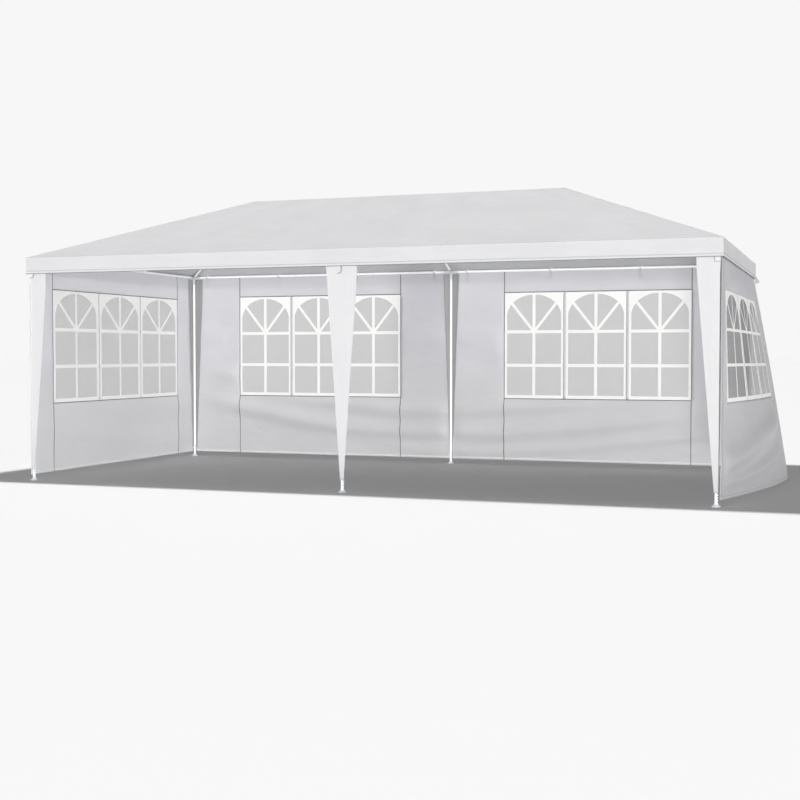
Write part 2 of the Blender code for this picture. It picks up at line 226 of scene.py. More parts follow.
def cloth_look(name, colour, through, roughness=0.48, wrinkle=0.35, stretch=(1, 1, 1), low=None):
    """Coated woven sheeting: woven tapes, soft wrinkles, faint clouding, and light that comes through; a low
    colour paints shade low on a wall.
    """
    look, tree, shader = new_look(name, colour, roughness)
    clouding = grain(tree, "UV", (1, 1, 1), 2.3, detail=4.0, roughness=0.55)
    tint = ramp(tree, clouding, scaled(colour, 0.965), scaled(colour, 1.02))
    # low is a darker, greyer copy of the colour: painted shade towards the bottom of a wall
    if low:
        shaded_low_tint = ramp(tree, clouding, scaled(low, 0.965), scaled(low, 1.02))
        tint = painted_low_shade(tree, shaded_low_tint, tint)
    tree.links.new(tint, shader.inputs["Base Color"])
    rubbed = grain(tree, "UV", (1, 1, 1), 14.0, detail=5.0)
    rough = ramp(tree, rubbed, (roughness - 0.06,) * 3, (roughness + 0.08,) * 3)
    tree.links.new(rough, shader.inputs["Roughness"])
    shader.inputs["Specular IOR Level"].default_value = 0.35
    shader.inputs["Sheen Weight"].default_value = 0.08
    wrinkles = grain(tree, "UV", stretch, 5.5, detail=3.0, roughness=0.45, distortion=0.6)
    creases = grain(tree, "UV", (1, 1, 1), 38.0, detail=2.0, roughness=0.5)
    normal = bump(tree, wrinkles, wrinkle, 0.02)
    normal = bump(tree, creases, 0.10, 0.002, normal)
    normal = bump(tree, weave(tree, 0.0022), 0.22, 0.0006, normal)
    tree.links.new(normal, shader.inputs["Normal"])
    if through:
        passing = add(tree, "ShaderNodeBsdfTranslucent")
        passing.inputs["Color"].default_value = (*colour, 1)
        tree.links.new(normal, passing.inputs["Normal"])
        mixed = add(tree, "ShaderNodeMixShader")
        mixed.inputs["Fac"].default_value = through
        tree.links.new(shader.outputs["BSDF"], mixed.inputs[1])
        tree.links.new(passing.outputs["BSDF"], mixed.inputs[2])
        tree.links.new(mixed.outputs["Shader"], tree.nodes["Material Output"].inputs["Surface"])
    return look


def hem_look(name, colour, width):
    """The doubled cloth of a hem, with two rows of lockstitch and the thread's dimples."""
    look, tree, shader = new_look(name, colour, 0.5)
    where = add(tree, "ShaderNodeTexCoord")
    parts = add(tree, "ShaderNodeSeparateXYZ")
    tree.links.new(where.outputs["UV"], parts.inputs["Vector"])
    along, across = parts.outputs["X"], parts.outputs["Y"]
    dash = maths(tree, "GREATER_THAN", maths(tree, "SINE", maths(tree, "MULTIPLY", along, 1257.0), 0), -0.35)
    rows = None
    for share in (0.18, 0.82):
        gap = maths(tree, "ABSOLUTE", maths(tree, "SUBTRACT", across, share * width), 0)
        row = maths(tree, "LESS_THAN", gap, 0.0007)
        rows = row if rows is None else maths(tree, "MAXIMUM", rows, row)
    thread = maths(tree, "MULTIPLY", rows, dash)
    tree.links.new(ramp(tree, thread, colour, scaled(colour, 0.88), 0.2, 0.8), shader.inputs["Base Color"])
    pucker = grain(tree, "UV", (60, 12, 1), 1.0, detail=2.0)
    normal = bump(tree, pucker, 0.25, 0.002)
    normal = bump(tree, thread, -0.6, 0.0006, normal)
    normal = bump(tree, weave(tree, 0.0022), 0.2, 0.0006, normal)
    tree.links.new(normal, shader.inputs["Normal"])
    shader.inputs["Specular IOR Level"].default_value = 0.35
    return look


def coat_look(name, colour, roughness, peel=0.25, marks=0.5):
    """Powder coat or moulded plastic: a fine orange peel, faint rubbing, and small darker scuffs."""
    look, tree, shader = new_look(name, colour, roughness)
    wear = grain(tree, "Object", (1, 1, 0.2), 26.0, detail=6.0, roughness=0.6)
    tint = ramp(tree, wear, scaled(colour, 1 - 0.14 * marks), colour, 0.28, 0.46)
    tree.links.new(tint, shader.inputs["Base Color"])
    rough = ramp(tree, wear, (roughness + 0.18,) * 3, (roughness,) * 3, 0.25, 0.6)
    tree.links.new(rough, shader.inputs["Roughness"])
    skin = grain(tree, "Object", (1, 1, 1), 900.0, detail=1.0)
    tree.links.new(bump(tree, skin, peel, 0.0003), shader.inputs["Normal"])
    shader.inputs["Coat Weight"].default_value = 0.25
    shader.inputs["Coat Roughness"].default_value = 0.15
    return look


def film_look(name, colour, alpha):
    """Clear sheet, a little cloudy, with slight ripples that catch the light."""
    look, tree, shader = new_look(name, colour, 0.30)
    ripples = grain(tree, "UV", (1, 0.35, 1), 3.0, detail=1.0, distortion=0.3)
    haze = grain(tree, "UV", (1, 1, 1), 9.0, detail=5.0)
    tree.links.new(ramp(tree, haze, (0.28,) * 3, (0.34,) * 3), shader.inputs["Roughness"])
    tree.links.new(ramp(tree, haze, scaled(colour, 0.985), colour), shader.inputs["Base Color"])
    tree.links.new(bump(tree, ripples, 0.05, 0.01), shader.inputs["Normal"])
    shader.inputs["Alpha"].default_value = alpha
    shader.inputs["Specular IOR Level"].default_value = 0.25
    return look


def print_look(name, colour):
    """Thick white sheet welded on the film: pressed matt grain and a weld line's slight waves."""
    look, tree, shader = new_look(name, colour, 0.42)
    press = grain(tree, "UV", (1, 1, 1), 320.0, detail=2.0)
    waves = grain(tree, "UV", (1, 1, 1), 11.0, detail=2.0)
    normal = bump(tree, waves, 0.25, 0.006)
    tree.links.new(bump(tree, press, 0.2, 0.0004, normal), shader.inputs["Normal"])
    shade = grain(tree, "UV", (1, 1, 1), 3.0, detail=3.0)
    tree.links.new(ramp(tree, shade, scaled(colour, 0.975), colour), shader.inputs["Base Color"])
    return look


roof_cloth_look = cloth_look("roof_sheeting", (0.80, 0.80, 0.81), 0.20, stretch=(1.0, 1.6, 1))
# The wall cloth's low colour is painted shade: darker and greyer towards the bottom of each wall
wall_cloth_look = cloth_look(
    "wall_sheeting", (0.748, 0.744, 0.768), 0.40, stretch=(0.6, 1.5, 1), low=(0.712, 0.711, 0.714)
)
cover_cloth_look = cloth_look("cover_sheeting", (0.82, 0.82, 0.83), 0.15, wrinkle=0.25, stretch=(3, 0.7, 1))
# Painted shade: the inner face of the leg covers is a dark grey copy of the white cover cloth
cover_inside_shade_look = cloth_look("cover_inside_painted_shade", (0.31, 0.31, 0.31), 0.10, wrinkle=0.25, stretch=(3, 0.7, 1))
valance_hem_look = hem_look("valance_hem_sheeting", (0.65, 0.65, 0.66), HEM_WIDTH)
wall_hem_look = hem_look("wall_hem_sheeting", (0.60, 0.598, 0.612), HEM_WIDTH)
# Dark grey painted shadow: the seams round the window rows and the slit in the front middle cover
seam_and_slit_shade_look = coat_look("seam_and_slit_painted_shadow", (0.13, 0.13, 0.135), 0.6, marks=0.3)
strip_look = hem_look("window_strip_sheeting", (0.50, 0.50, 0.505), 0.024)
window_look = print_look("white_window_sheet", (0.95, 0.95, 0.935))
# Painted shade: the frames' face towards the inside of the tent is a darker copy of the white sheet
window_inner_shade_look = print_look("window_sheet_inner_painted_shade", (0.79, 0.79, 0.775))
# Painted shade: the film's outer face is a darker copy of the inner one
clear_look = film_look("clear_film", (0.56, 0.56, 0.56), 0.55)
clear_film_outer_shade_look = film_look("clear_film_outside_painted_shade", (0.34, 0.34, 0.34), 0.55)
tube_look = coat_look("white_powder_coat", (0.90, 0.92, 0.94), 0.32)
joint_look = coat_look("pale_grey_nylon", (0.80, 0.81, 0.83), 0.42, peel=0.15)
foot_look = coat_look("white_nylon", (0.86, 0.88, 0.90), 0.42, peel=0.15)
# Dark grey: under the valance it is a painted shadow line; on the front corner tabs it edges the tab
shadow_line_and_tab_edge_look = coat_look("shadow_line_and_tab_edge", (0.20, 0.20, 0.205), 0.6, marks=0.3)
steel_look = coat_look("zinc_steel", (0.55, 0.56, 0.58), 0.35, marks=0.8)
# Painted shade: the dark inside of the legs' holes
hole_shade_look = coat_look("painted_hole_shade", (0.035, 0.035, 0.04), 0.8, marks=0.2)
webbing_look = hem_look("white_webbing", (0.76, 0.76, 0.78), 0.03)


# ---------------------------------------------------------------- making


def make(name, body, looks, soft=True, thick=None, offset=0.0, sharp=None):
    """Turns a bmesh in tent coordinates into a piece that rides on the tent."""
    bmesh.ops.translate(body, vec=TENT_MIDDLE, verts=body.verts)
    mesh = bpy.data.meshes.new(name)
    body.to_mesh(mesh)
    body.free()
    piece = bpy.data.objects.new(name, mesh)
    bpy.context.scene.collection.objects.link(piece)
    for look in looks if isinstance(looks, (list, tuple)) else (looks,):
        mesh.materials.append(look)
    if soft:
        mesh.shade_smooth()
    if sharp:
        mesh.set_sharp_from_angle(angle=math.radians(sharp))
    if thick:
        thicken = piece.modifiers.new("cloth_thickness", "SOLIDIFY")
        thicken.thickness = thick
        thicken.offset = offset
        thicken.use_even_offset = True
        if len(mesh.materials) > 1:
            thicken.material_offset = 1
    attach(piece, "root")
    return piece


def grid(body, across, up, place, size):
    """Adds a grid whose corners run 0..1 both ways, put in place; its UVs are metres on the flat cloth."""
    cloth = body.loops.layers.uv.verify()
    made = bmesh.ops.create_grid(body, x_segments=across, y_segments=up, size=0.5)
    corners = made["verts"]
    faces = {face for corner in corners for face in corner.link_faces}
    for face in faces:
        for loop in face.loops:
            at = loop.vert.co
            loop[cloth].uv = ((at.x + 0.5) * size[0], (at.y + 0.5) * size[1])
    for corner in corners:
        corner.co = place(corner.co.x + 0.5, corner.co.y + 0.5)
    return corners


def mix(low, high, share):
    return low + (high - low) * share


def ease(share):
    share = min(1.0, max(0.0, share))
    return share * share * (3 - 2 * share)


def wander(x, y, size, seed):
    """Smooth noise between about -1 and 1."""
    return noise.noise(Vector((x / size, y / size, seed * 7.31)))


def stops(share, knots):
    """Maps 0..1 through (share, value) knots in straight pieces."""
    for (share_a, value_a), (share_b, value_b) in zip(knots, knots[1:]):
        if share <= share_b + 1e-6:
            return mix(value_a, value_b, (share - share_a) / (share_b - share_a))
    return knots[-1][1]


# ---------------------------------------------------------------- roof


def roof_height(x, y):
    """The roof cloth's outer face, with its slight sag between the rafters."""
    from_end = ROOF_HALF_LENGTH - abs(x)
    from_side = ROOF_HALF_WIDTH - abs(y)
    z = ROOF_EDGE_Z + ROOF_SLOPE * min(from_end, from_side)
    if from_side <= from_end:
        rise = from_side / ROOF_HALF_WIDTH
        half = ROOF_HALF_LENGTH - ROOF_HALF_WIDTH * rise
        share = abs(x) / half
        sag = 0.012 * math.sin(math.pi * share) ** 2
    else:
        rise = from_end / ROOF_HALF_WIDTH
        half = max(0.001, ROOF_HALF_WIDTH * (1 - rise))
        share = abs(y) / half
        sag = 0.012 * math.cos(math.pi * min(1.0, share) / 2) ** 2
    body = max(0.0, math.sin(math.pi * min(1.0, max(0.0, rise)))) ** 0.8
    ripples = 0.0035 * wander(x, y, 0.55, 1) + 0.0015 * wander(x * 2.2, y, 0.21, 2)
    return z - body * (sag - ripples * min(1.0, 4 * rise))


def valance_out(along, z, side):
    """How far the valance swings out below the eave seam."""
    down = (ROOF_EDGE_Z - z) / (ROOF_EDGE_Z - VALANCE_BOTTOM_Z)
    wave = 0.0035 * wander(along, side, 0.50, 3) + 0.0018 * wander(along, side, 0.16, 4)
    return ease(down) * (0.003 + wave)


def roof_cloth():
    body = bmesh.new()
    for side, sign in SIDES:

        def slope(u, t, sign=sign):
            half = ROOF_HALF_LENGTH - ROOF_HALF_WIDTH * t
            x = -sign * (2 * u - 1) * half
            y = sign * ROOF_HALF_WIDTH * (1 - t)
            return Vector((x, y, roof_height(x, y)))

        def drop(u, t, sign=sign):
            x = -sign * (2 * u - 1) * ROOF_HALF_LENGTH
            z = mix(VALANCE_BOTTOM_Z, ROOF_EDGE_Z, t)
            fade = min(1.0, (ROOF_HALF_LENGTH - abs(x)) / 0.12)
            return Vector((x, sign * (ROOF_HALF_WIDTH + fade * valance_out(x, z, sign)), z))

        grid(body, 120, 32, slope, (2 * ROOF_HALF_LENGTH, 1.62))
        grid(body, 120, 6, drop, (2 * ROOF_HALF_LENGTH, 0.137))
    for end, sign in ENDS:

        def slope(u, t, sign=sign):
            half = ROOF_HALF_WIDTH * (1 - t)
            x = sign * (ROOF_HALF_LENGTH - ROOF_HALF_WIDTH * t)
            y = sign * (2 * u - 1) * half
            return Vector((x, y, roof_height(x, y)))

        def drop(u, t, sign=sign):
            y = sign * (2 * u - 1) * ROOF_HALF_WIDTH
            z = mix(VALANCE_BOTTOM_Z, ROOF_EDGE_Z, t)
            fade = min(1.0, (ROOF_HALF_WIDTH - abs(y)) / 0.12)
            return Vector((sign * (ROOF_HALF_LENGTH + fade * valance_out(y, z, 5 * sign)), y, z))

        grid(body, 60, 32, slope, (2 * ROOF_HALF_WIDTH, 1.62))
        grid(body, 60, 6, drop, (2 * ROOF_HALF_WIDTH, 0.137))
    bmesh.ops.remove_doubles(body, verts=body.verts, dist=0.0005)
    bmesh.ops.recalc_face_normals(body, faces=body.faces)
    highest = max(body.faces, key=lambda face: face.calc_center_median().z)
    if highest.normal.z < 0:
        bmesh.ops.reverse_faces(body, faces=body.faces)
    piece = make(
        "roof_cloth", body, roof_cloth_look, thick=ROOF_CLOTH, offset=-1, sharp=25
    )
    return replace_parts(piece, "roof_front", "roof_rear", "roof_left", "roof_right")


def strip(body, start, end, width, steps, columns, place):
    """A band along start-end; place(x, y, across) gives its height or point."""
    way = (end - start).normalized()
    side = Vector((-way.y, way.x, 0))
    length = (end - start).length

    def put(u, t):
        across = (t - 0.5) * width
        at = start + way * length * u + side * across
        return place(at, across)

    return grid(body, steps, columns, put, (length, width))


def roof_seams():
    """Taped seams over the hips and the ridge."""
    body = bmesh.new()

    def lie(at, across):
        return Vector((at.x, at.y, roof_height(at.x, at.y) + 0.0011))

    for end, sign in ENDS:
        top = Vector((sign * RIDGE_HALF_LENGTH, 0, 0))
        for side, turn in SIDES:
            corner = Vector((sign * ROOF_HALF_LENGTH, turn * ROOF_HALF_WIDTH, 0))
            strip(body, corner + (top - corner) * 0.006, top, 0.030, 60, 4, lie)
    strip(body, Vector((-RIDGE_HALF_LENGTH, 0, 0)), Vector((RIDGE_HALF_LENGTH, 0, 0)), 0.034, 60, 4, lie)
    bmesh.ops.recalc_face_normals(body, faces=body.faces)
    return make("roof_seam_tapes", body, roof_cloth_look, thick=0.0008, offset=0, sharp=25)


def valance_bands():
    """The welt at the eave, the doubled hem below it, and a dark line under the hem that paints the valance's
    shadow.
    """
    hem = bmesh.new()
    welt = bmesh.new()
    shadow_line = bmesh.new()
    runs = []
    for side, sign in SIDES:
        runs.append((Vector((-sign, 0, 0)), Vector((0, sign, 0)), ROOF_HALF_LENGTH, ROOF_HALF_WIDTH, sign))
    for end, sign in ENDS:
        runs.append((Vector((0, sign, 0)), Vector((sign, 0, 0)), ROOF_HALF_WIDTH, ROOF_HALF_LENGTH, 5 * sign))
    for along, outward, half, away, seed in runs:

        def hem_place(u, t, along=along, outward=outward, half=half, away=away, seed=seed):
            run = (2 * u - 1) * half
            z = VALANCE_BOTTOM_Z - 0.0006 + t * 0.022
            at = along * run
            key = at.x if abs(along.x) > 0.5 else at.y
            fade = min(1.0, (half - abs(run)) / 0.12)
            return at + outward * (away + 0.0007 + fade * valance_out(key, z, seed)) + UP * z

        grid(hem, int(40 * half), 2, hem_place, (2 * half, HEM_WIDTH))

        # A thin dark tube under the hem: painted shadow of the valance
        def shadow_line_place(u, t, along=along, outward=outward, half=half, away=away, seed=seed):
            run = (2 * u - 1) * half
            turn = 2 * math.pi * t
            key = (along * run).x if abs(along.x) > 0.5 else (along * run).y
            fade = min(1.0, (half - abs(run)) / 0.12)
            out = away + fade * valance_out(key, VALANCE_BOTTOM_Z, seed) + 0.0024 * math.cos(turn)
            return along * run + outward * out + UP * (VALANCE_BOTTOM_Z - 0.0028 + 0.0024 * math.sin(turn))

        grid(shadow_line, int(40 * half), 8, shadow_line_place, (2 * half, 0.015))

        def welt_place(u, t, along=along, outward=outward, half=half, away=away):
            run = (2 * u - 1) * (half + 0.0005)
            turn = math.pi * (-0.62 + 1.24 * t)
            out = away - 0.0012 + 0.0034 * math.cos(turn)
            return along * run + outward * out + UP * (ROOF_EDGE_Z - 0.0026 + 0.0034 * math.sin(turn))

        grid(welt, int(40 * half), 8, welt_place, (2 * half, 0.012))
    for body in (hem, welt, shadow_line):
        bmesh.ops.recalc_face_normals(body, faces=body.faces)
    hem_piece = make("valance_hem", hem, valance_hem_look, thick=0.0028, offset=0)
    welt_piece = make("eave_welt", welt, roof_cloth_look, thick=0.0008, offset=0)
    shadow_line_piece = make("valance_shadow_line", shadow_line, shadow_line_and_tab_edge_look, thick=0.0008, offset=-1)
    return [hem_piece, welt_piece, shadow_line_piece]


# ---------------------------------------------------------------- walls


def wall_facts():
    long_half = LEG_X + 0.010
    facts = {}
    for end, sign in ENDS:
        facts[f"rear_{end}"] = (
            Vector((sign * (long_half + 0.0005) / 2, LEG_Y, 0)), Vector((0, 1, 0)), long_half - 0.0005, False
        )
        facts[end] = (Vector((sign * LEG_X, 0, 0)), Vector((sign, 0, 0)), 2 * (LEG_Y + 0.010), end == "right")
    return facts


WALLS = wall_facts()

# Soft folds: the line each one follows on the flat wall, its width, and how far it stands out
REAR_DRAPES = (
    (((-3.1, 0.68), (-2.43, 0.56), (-1.73, 0.43), (-1.19, 0.35), (-0.56, 0.32), (0.56, 0.32), (1.4, 0.40), (1.92, 0.47), (2.8, 0.62)), 0.085, 0.030),
    (((-3.1, 1.02), (-2.43, 0.90), (-1.73, 0.69), (-1.1, 0.60), (-0.56, 0.53), (0.02, 0.54), (0.8, 0.60), (2.0, 0.74)), 0.090, 0.026),
    (((-1.0, 0.16), (0.2, 0.12), (1.2, 0.18), (2.34, 0.32), (3.0, 0.44)), 0.060, 0.016),
    (((-1.1, 1.18), (0.0, 1.33), (0.7, 1.22)), 0.14, 0.016),
    (((0.8, 0.92), (1.9, 0.96), (3.0, 1.10)), 0.10, 0.008),
    (((-3.1, 1.42), (-2.55, 1.30)), 0.12, 0.010),
    (((2.2, 1.76), (3.0, 1.70)), 0.06, 0.012),
)
FOLDS = {
    "left": (
        (((-1.8, 0.66), (-1.12, 0.57), (-0.34, 0.58), (0.5, 0.66)), 0.13, 0.010),
        (((-1.8, 0.27), (-1.1, 0.23), (-0.69, 0.24), (-0.05, 0.30), (0.6, 0.38), (1.6, 0.50)), 0.085, 0.009),
        (((-1.9, 1.76), (-1.13, 1.86), (-0.41, 1.99)), 0.10, 0.016),
        (((0.1, 1.78), (0.9, 1.86), (1.5, 1.98)), 0.10, 0.012),
        (((1.0, 1.10), (1.5, 0.94)), 0.09, 0.014),
    ),
    "rear_left": REAR_DRAPES,
    "rear_right": REAR_DRAPES,
    "right": (
        (((-1.6, 0.30), (-0.97, 0.35), (-0.17, 0.46), (0.6, 0.54), (1.7, 0.62)), 0.085, 0.052),
        (((-1.6, 0.17), (-0.95, 0.18), (-0.31, 0.22), (0.5, 0.28), (1.3, 0.40)), 0.045, 0.030),
        (((-1.6, 1.30), (-1.36, 1.00), (-1.30, 0.50)), 0.07, -0.010),
        (((-1.2, 1.66), (0.2, 1.74), (1.3, 1.72)), 0.07, 0.008),
    ),
}


def fold_out(name, s, z):
    """How far the wall stands out of its plane at one point of the flat cloth."""
    centre, outward, length, swings = WALLS[name]
    here = Vector((s, z))
    if name.startswith("rear"):
        here.x = centre.x - s
    total = 0.0
    for line, width, height in FOLDS[name]:
        nearest = 10.0
        share = 0.0
        steps = len(line) - 1
        for number in range(steps):
            start, end = Vector(line[number]), Vector(line[number + 1])
            run = end - start
            part = min(1.0, max(0.0, (here - start).dot(run) / run.length_squared))
            away = (here - start - run * part).length
            if away < nearest:
                nearest = away
                share = (number + part) / steps
        near = ease(share / 0.16) * ease((1 - share) / 0.16)
        total += height * near * math.exp(-((nearest / width) ** 2))
    ripples = 0.004 * wander(s, z * 1.8, 0.45, len(name)) + 0.0015 * wander(s * 1.5, z, 0.16, len(name) + 3)
    total += ripples + 0.002
    held = ease((WALL_TOP_Z - 0.05 - z) / 0.30)
    row = ROWS[name]
    from_row = max(abs(s - row.shift) - row.half, row.low_z - z, z - row.high_z)
    stiff = mix(0.10, 1.0, ease((from_row + 0.02) / 0.11))
    return total * held * stiff


def wall_point(name, s, z, depth):
    centre, outward, length, swings = WALLS[name]
    along = UP.cross(outward)
    into_corner = s - (length / 2 - CORNER_ROUND)
    if swings and into_corner > 0:
        rise = CORNER_ROUND - math.sqrt(max(0.0, CORNER_ROUND**2 - into_corner**2))
        z += rise * (1 - ease((z - HEM_Z) / 0.5))
    if swings and s > 0:
        edge = mix(0.03, 1.0, ease((length / 2 - s) / 1.25))
    else:
        edge = mix(0.25, 1.0, ease((length / 2 - abs(s)) / 0.12))
    out = fold_out(name, s, z) * edge
    way = outward if swings else -outward
    shift = max(out, -0.0015 if not swings else -0.02)
    point = centre + along * s + outward * depth + way * shift + UP * z
    if swings:
        share = max(0.0, s / length + 0.5)
        down = max(0.0, (SWING_TOP_Z - z) / (SWING_TOP_Z - HEM_Z))
        point.x += FLARE_OUT * share * (2 - share) * down
        point.y -= FLARE_FORWARD * share**FLARE_FORWARD_POWER * down * down
        point.z -= FLARE_DROP * share * down
    return point


def wall_rows(row):
    """The heights of a wall's grid lines, so that tape and cloth bend at the same places."""
    return ((0, HEM_Z), (36 / 96, row.low_z), (84 / 96, row.high_z), (1, WALL_TOP_Z))


def wall_cloth(name, node):
    length = WALLS[name][2]
    row = ROWS[name]
    across = ((0, -length / 2), (16 / 80, row.shift - row.half), (64 / 80, row.shift + row.half), (1, length / 2))
    up = wall_rows(row)
    body = bmesh.new()

    def flat(u, t):
        return Vector((stops(u, across), stops(t, up), 0))

    grid(body, 80, 96, flat, (length, WALL_TOP_Z - HEM_Z))
    hole = []
    for face in body.faces:
        at = face.calc_center_median()
        if abs(at.x - row.shift) < row.half and row.low_z < at.y < row.high_z:
            hole.append(face)
    bmesh.ops.delete(body, geom=hole, context="FACES")
    cloth = body.loops.layers.uv.verify()
    for face in body.faces:
        for loop in face.loops:
            loop[cloth].uv = (loop.vert.co.x, loop.vert.co.y)
    for corner in body.verts:
        corner.co = wall_point(name, corner.co.x, corner.co.y, WALL_DEPTH)
    bmesh.ops.recalc_face_normals(body, faces=body.faces)
    piece = make(f"{node}_cloth", body, wall_cloth_look, thick=WALL_CLOTH)
    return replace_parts(piece, node)


def band(body, name, s_range, z_range, depth, steps, width):
    """A flat band of cloth or tape on a wall."""

    def put(u, t):
        return wall_point(name, mix(*s_range, u), mix(*z_range, t), depth)

    size = (s_range[1] - s_range[0], z_range[1] - z_range[0])
    corners = grid(body, *steps, put, size)
    if size[1] > size[0]:
        cloth = body.loops.layers.uv.verify()
        for face in {face for corner in corners for face in corner.link_faces}:
            for loop in face.loops:
                loop[cloth].uv = (loop[cloth].uv.y, loop[cloth].uv.x)
    return corners


def wall_trims(name, node):
    """Seam tapes beside and round the window row, their dark grey a painted shadow along the seams, and the hems
    on the wall's edges.
    """
    length = WALLS[name][2]
    row = ROWS[name]
    seams = bmesh.new()
    half = SEAM_WIDTH / 2
    for sign in (-1, 1):
        s = row.shift + sign * (row.half + half)

        def put(u, t, s=s):
            return wall_point(name, s + half * (2 * u - 1), stops(t, wall_rows(row)), SEAM_DEPTH)

        grid(seams, 1, 96, put, (SEAM_WIDTH, WALL_TOP_Z - HEM_Z))
    for z in (row.low_z - half, row.high_z + half):
        ends = (row.shift - row.half, row.shift + row.half)
        band(seams, name, ends, (z - half, z + half), SEAM_DEPTH, (60, 1), 0)
    tape = make(f"{node}_seams", seams, seam_and_slit_shade_look, thick=0.0018)
    hems = bmesh.new()
    low = (HEM_Z - 0.0008, HEM_Z - 0.0008 + HEM_WIDTH)
    band(hems, name, (-length / 2, length / 2), low, WALL_DEPTH, (90, 2), 0)
    for sign in (-1, 1):
        edge = sign * length / 2
        inner = edge - sign * HEM_WIDTH
        band(hems, name, tuple(sorted((edge, inner))), (low[1] + 0.001, WALL_TOP_Z), WALL_DEPTH, (2, 64), 0)
    hem = make(f"{node}_hems", hems, wall_hem_look, thick=0.0030)
    return [tape, hem]


# ---------------------------------------------------------------- windows


def prism(points, low, high):
    """A flat outline raised between two heights, as a separate object for cutting."""
    body = bmesh.new()
    corners = [body.verts.new((x, z, low)) for x, z in points]
    face = body.faces.new(corners)
    raised = bmesh.ops.extrude_face_region(body, geom=[face])
    tops = [part for part in raised["geom"] if isinstance(part, bmesh.types.BMVert)]
    bmesh.ops.translate(body, vec=(0, 0, high - low), verts=tops)
    bmesh.ops.recalc_face_normals(body, faces=body.faces)
    mesh = bpy.data.meshes.new("cutter")
    body.to_mesh(mesh)
    body.free()
    cutter = bpy.data.objects.new("cutter", mesh)
    bpy.context.scene.collection.objects.link(cutter)
    return cutter


def window_width(row):
    return (2 * row.half - (WINDOWS_IN_ROW - 1) * row.strip) / WINDOWS_IN_ROW


def window_sheet(row):
    """One window's white sheet, laid flat: a rectangle with its arched opening, as a mesh."""
    width = window_width(row)
    pane_half = width / 2 - row.frame
    spring_z = row.high_z - ARCH_TOP_FRAME - row.rise
    sill_z = row.low_z + row.sill
    arch = [(-pane_half, sill_z), (pane_half, sill_z)]
    for step in range(33):
        turn = math.pi * step / 32
        arch.append((pane_half * math.cos(turn), spring_z + row.rise * math.sin(turn)))
    body = bmesh.new()
    bmesh.ops.create_grid(body, x_segments=12, y_segments=24, size=0.5)
    for corner in body.verts:
        corner.co.x *= width
        corner.co.y = mix(row.low_z, row.high_z, corner.co.y + 0.5)
        corner.co.z = -0.0013
    lifted = bmesh.ops.extrude_face_region(body, geom=body.faces[:])
    tops = [part for part in lifted["geom"] if isinstance(part, bmesh.types.BMVert)]
    bmesh.ops.translate(body, vec=(0, 0, 0.0026), verts=tops)
    bmesh.ops.recalc_face_normals(body, faces=body.faces)
    mesh = bpy.data.meshes.new("window_sheet")
    body.to_mesh(mesh)
    body.free()
    sheet = bpy.data.objects.new("window_sheet", mesh)
    bpy.context.scene.collection.objects.link(sheet)
    cutter = prism(arch, -0.01, 0.01)
    cut = sheet.modifiers.new("arch", "BOOLEAN")
    cut.operation = "DIFFERENCE"
    cut.solver = "EXACT"
    cut.object = cutter
    bpy.context.view_layer.update()
    made = bpy.data.meshes.new_from_object(sheet.evaluated_get(bpy.context.evaluated_depsgraph_get()))
    bpy.data.objects.remove(sheet, do_unlink=True)
    bpy.data.objects.remove(cutter, do_unlink=True)
    return made


def bar(body, start, end, width, thick, steps):
    """A flat bar between two points of the flat window."""
    way = (Vector(end) - Vector(start)).normalized()
    side = Vector((-way.y, way.x))
    length = (Vector(end) - Vector(start)).length
    faces_before = set(body.faces)

    def put(u, t):
        at = Vector(start) + way * length * u + side * width * (t - 0.5)
        return Vector((at.x, at.y, -thick / 2))

    grid(body, steps, 1, put, (length, width))
    flat = [face for face in body.faces if face not in faces_before]
    lifted = bmesh.ops.extrude_face_region(body, geom=flat)
    tops = [part for part in lifted["geom"] if isinstance(part, bmesh.types.BMVert)]
    bmesh.ops.translate(body, vec=(0, 0, thick), verts=tops)


def window_lattice(row):
    """The whole white part of one window, flat: sheet, posts, rails and spokes."""
    body = bmesh.new()
    body.from_mesh(window_sheet(row))
    lap = 0.012
    pane_half = window_width(row) / 2 - row.frame
    arch_top_z = row.high_z - ARCH_TOP_FRAME
    bar(body, (0, row.low_z + row.sill - lap), (0, arch_top_z + lap), POST_WIDTH * row.bars, 0.0018, 22)
    for z in (row.upper_rail_z, row.lower_rail_z):
        bar(body, (-pane_half - lap, z), (pane_half + lap, z), RAIL_WIDTH * row.bars, 0.0021, 12)
    turn = SPOKE_TURN
    for sign in (-1, 1):
        end = (sign * pane_half * math.cos(turn) * 1.05, arch_top_z - row.rise * (1 - math.sin(turn)) + 0.006)
        bar(body, (0, row.upper_rail_z), end, SPOKE_WIDTH * row.bars, 0.0015, 8)
    bmesh.ops.recalc_face_normals(body, faces=body.faces)
    # Faces towards the inside of the tent take the darker painted-shade copy of the white sheet
    for face in body.faces:
        face.material_index = 1 if face.normal.z < -0.5 else 0
    mesh = bpy.data.meshes.new("window_lattice")
    body.to_mesh(mesh)
    body.free()
    return mesh


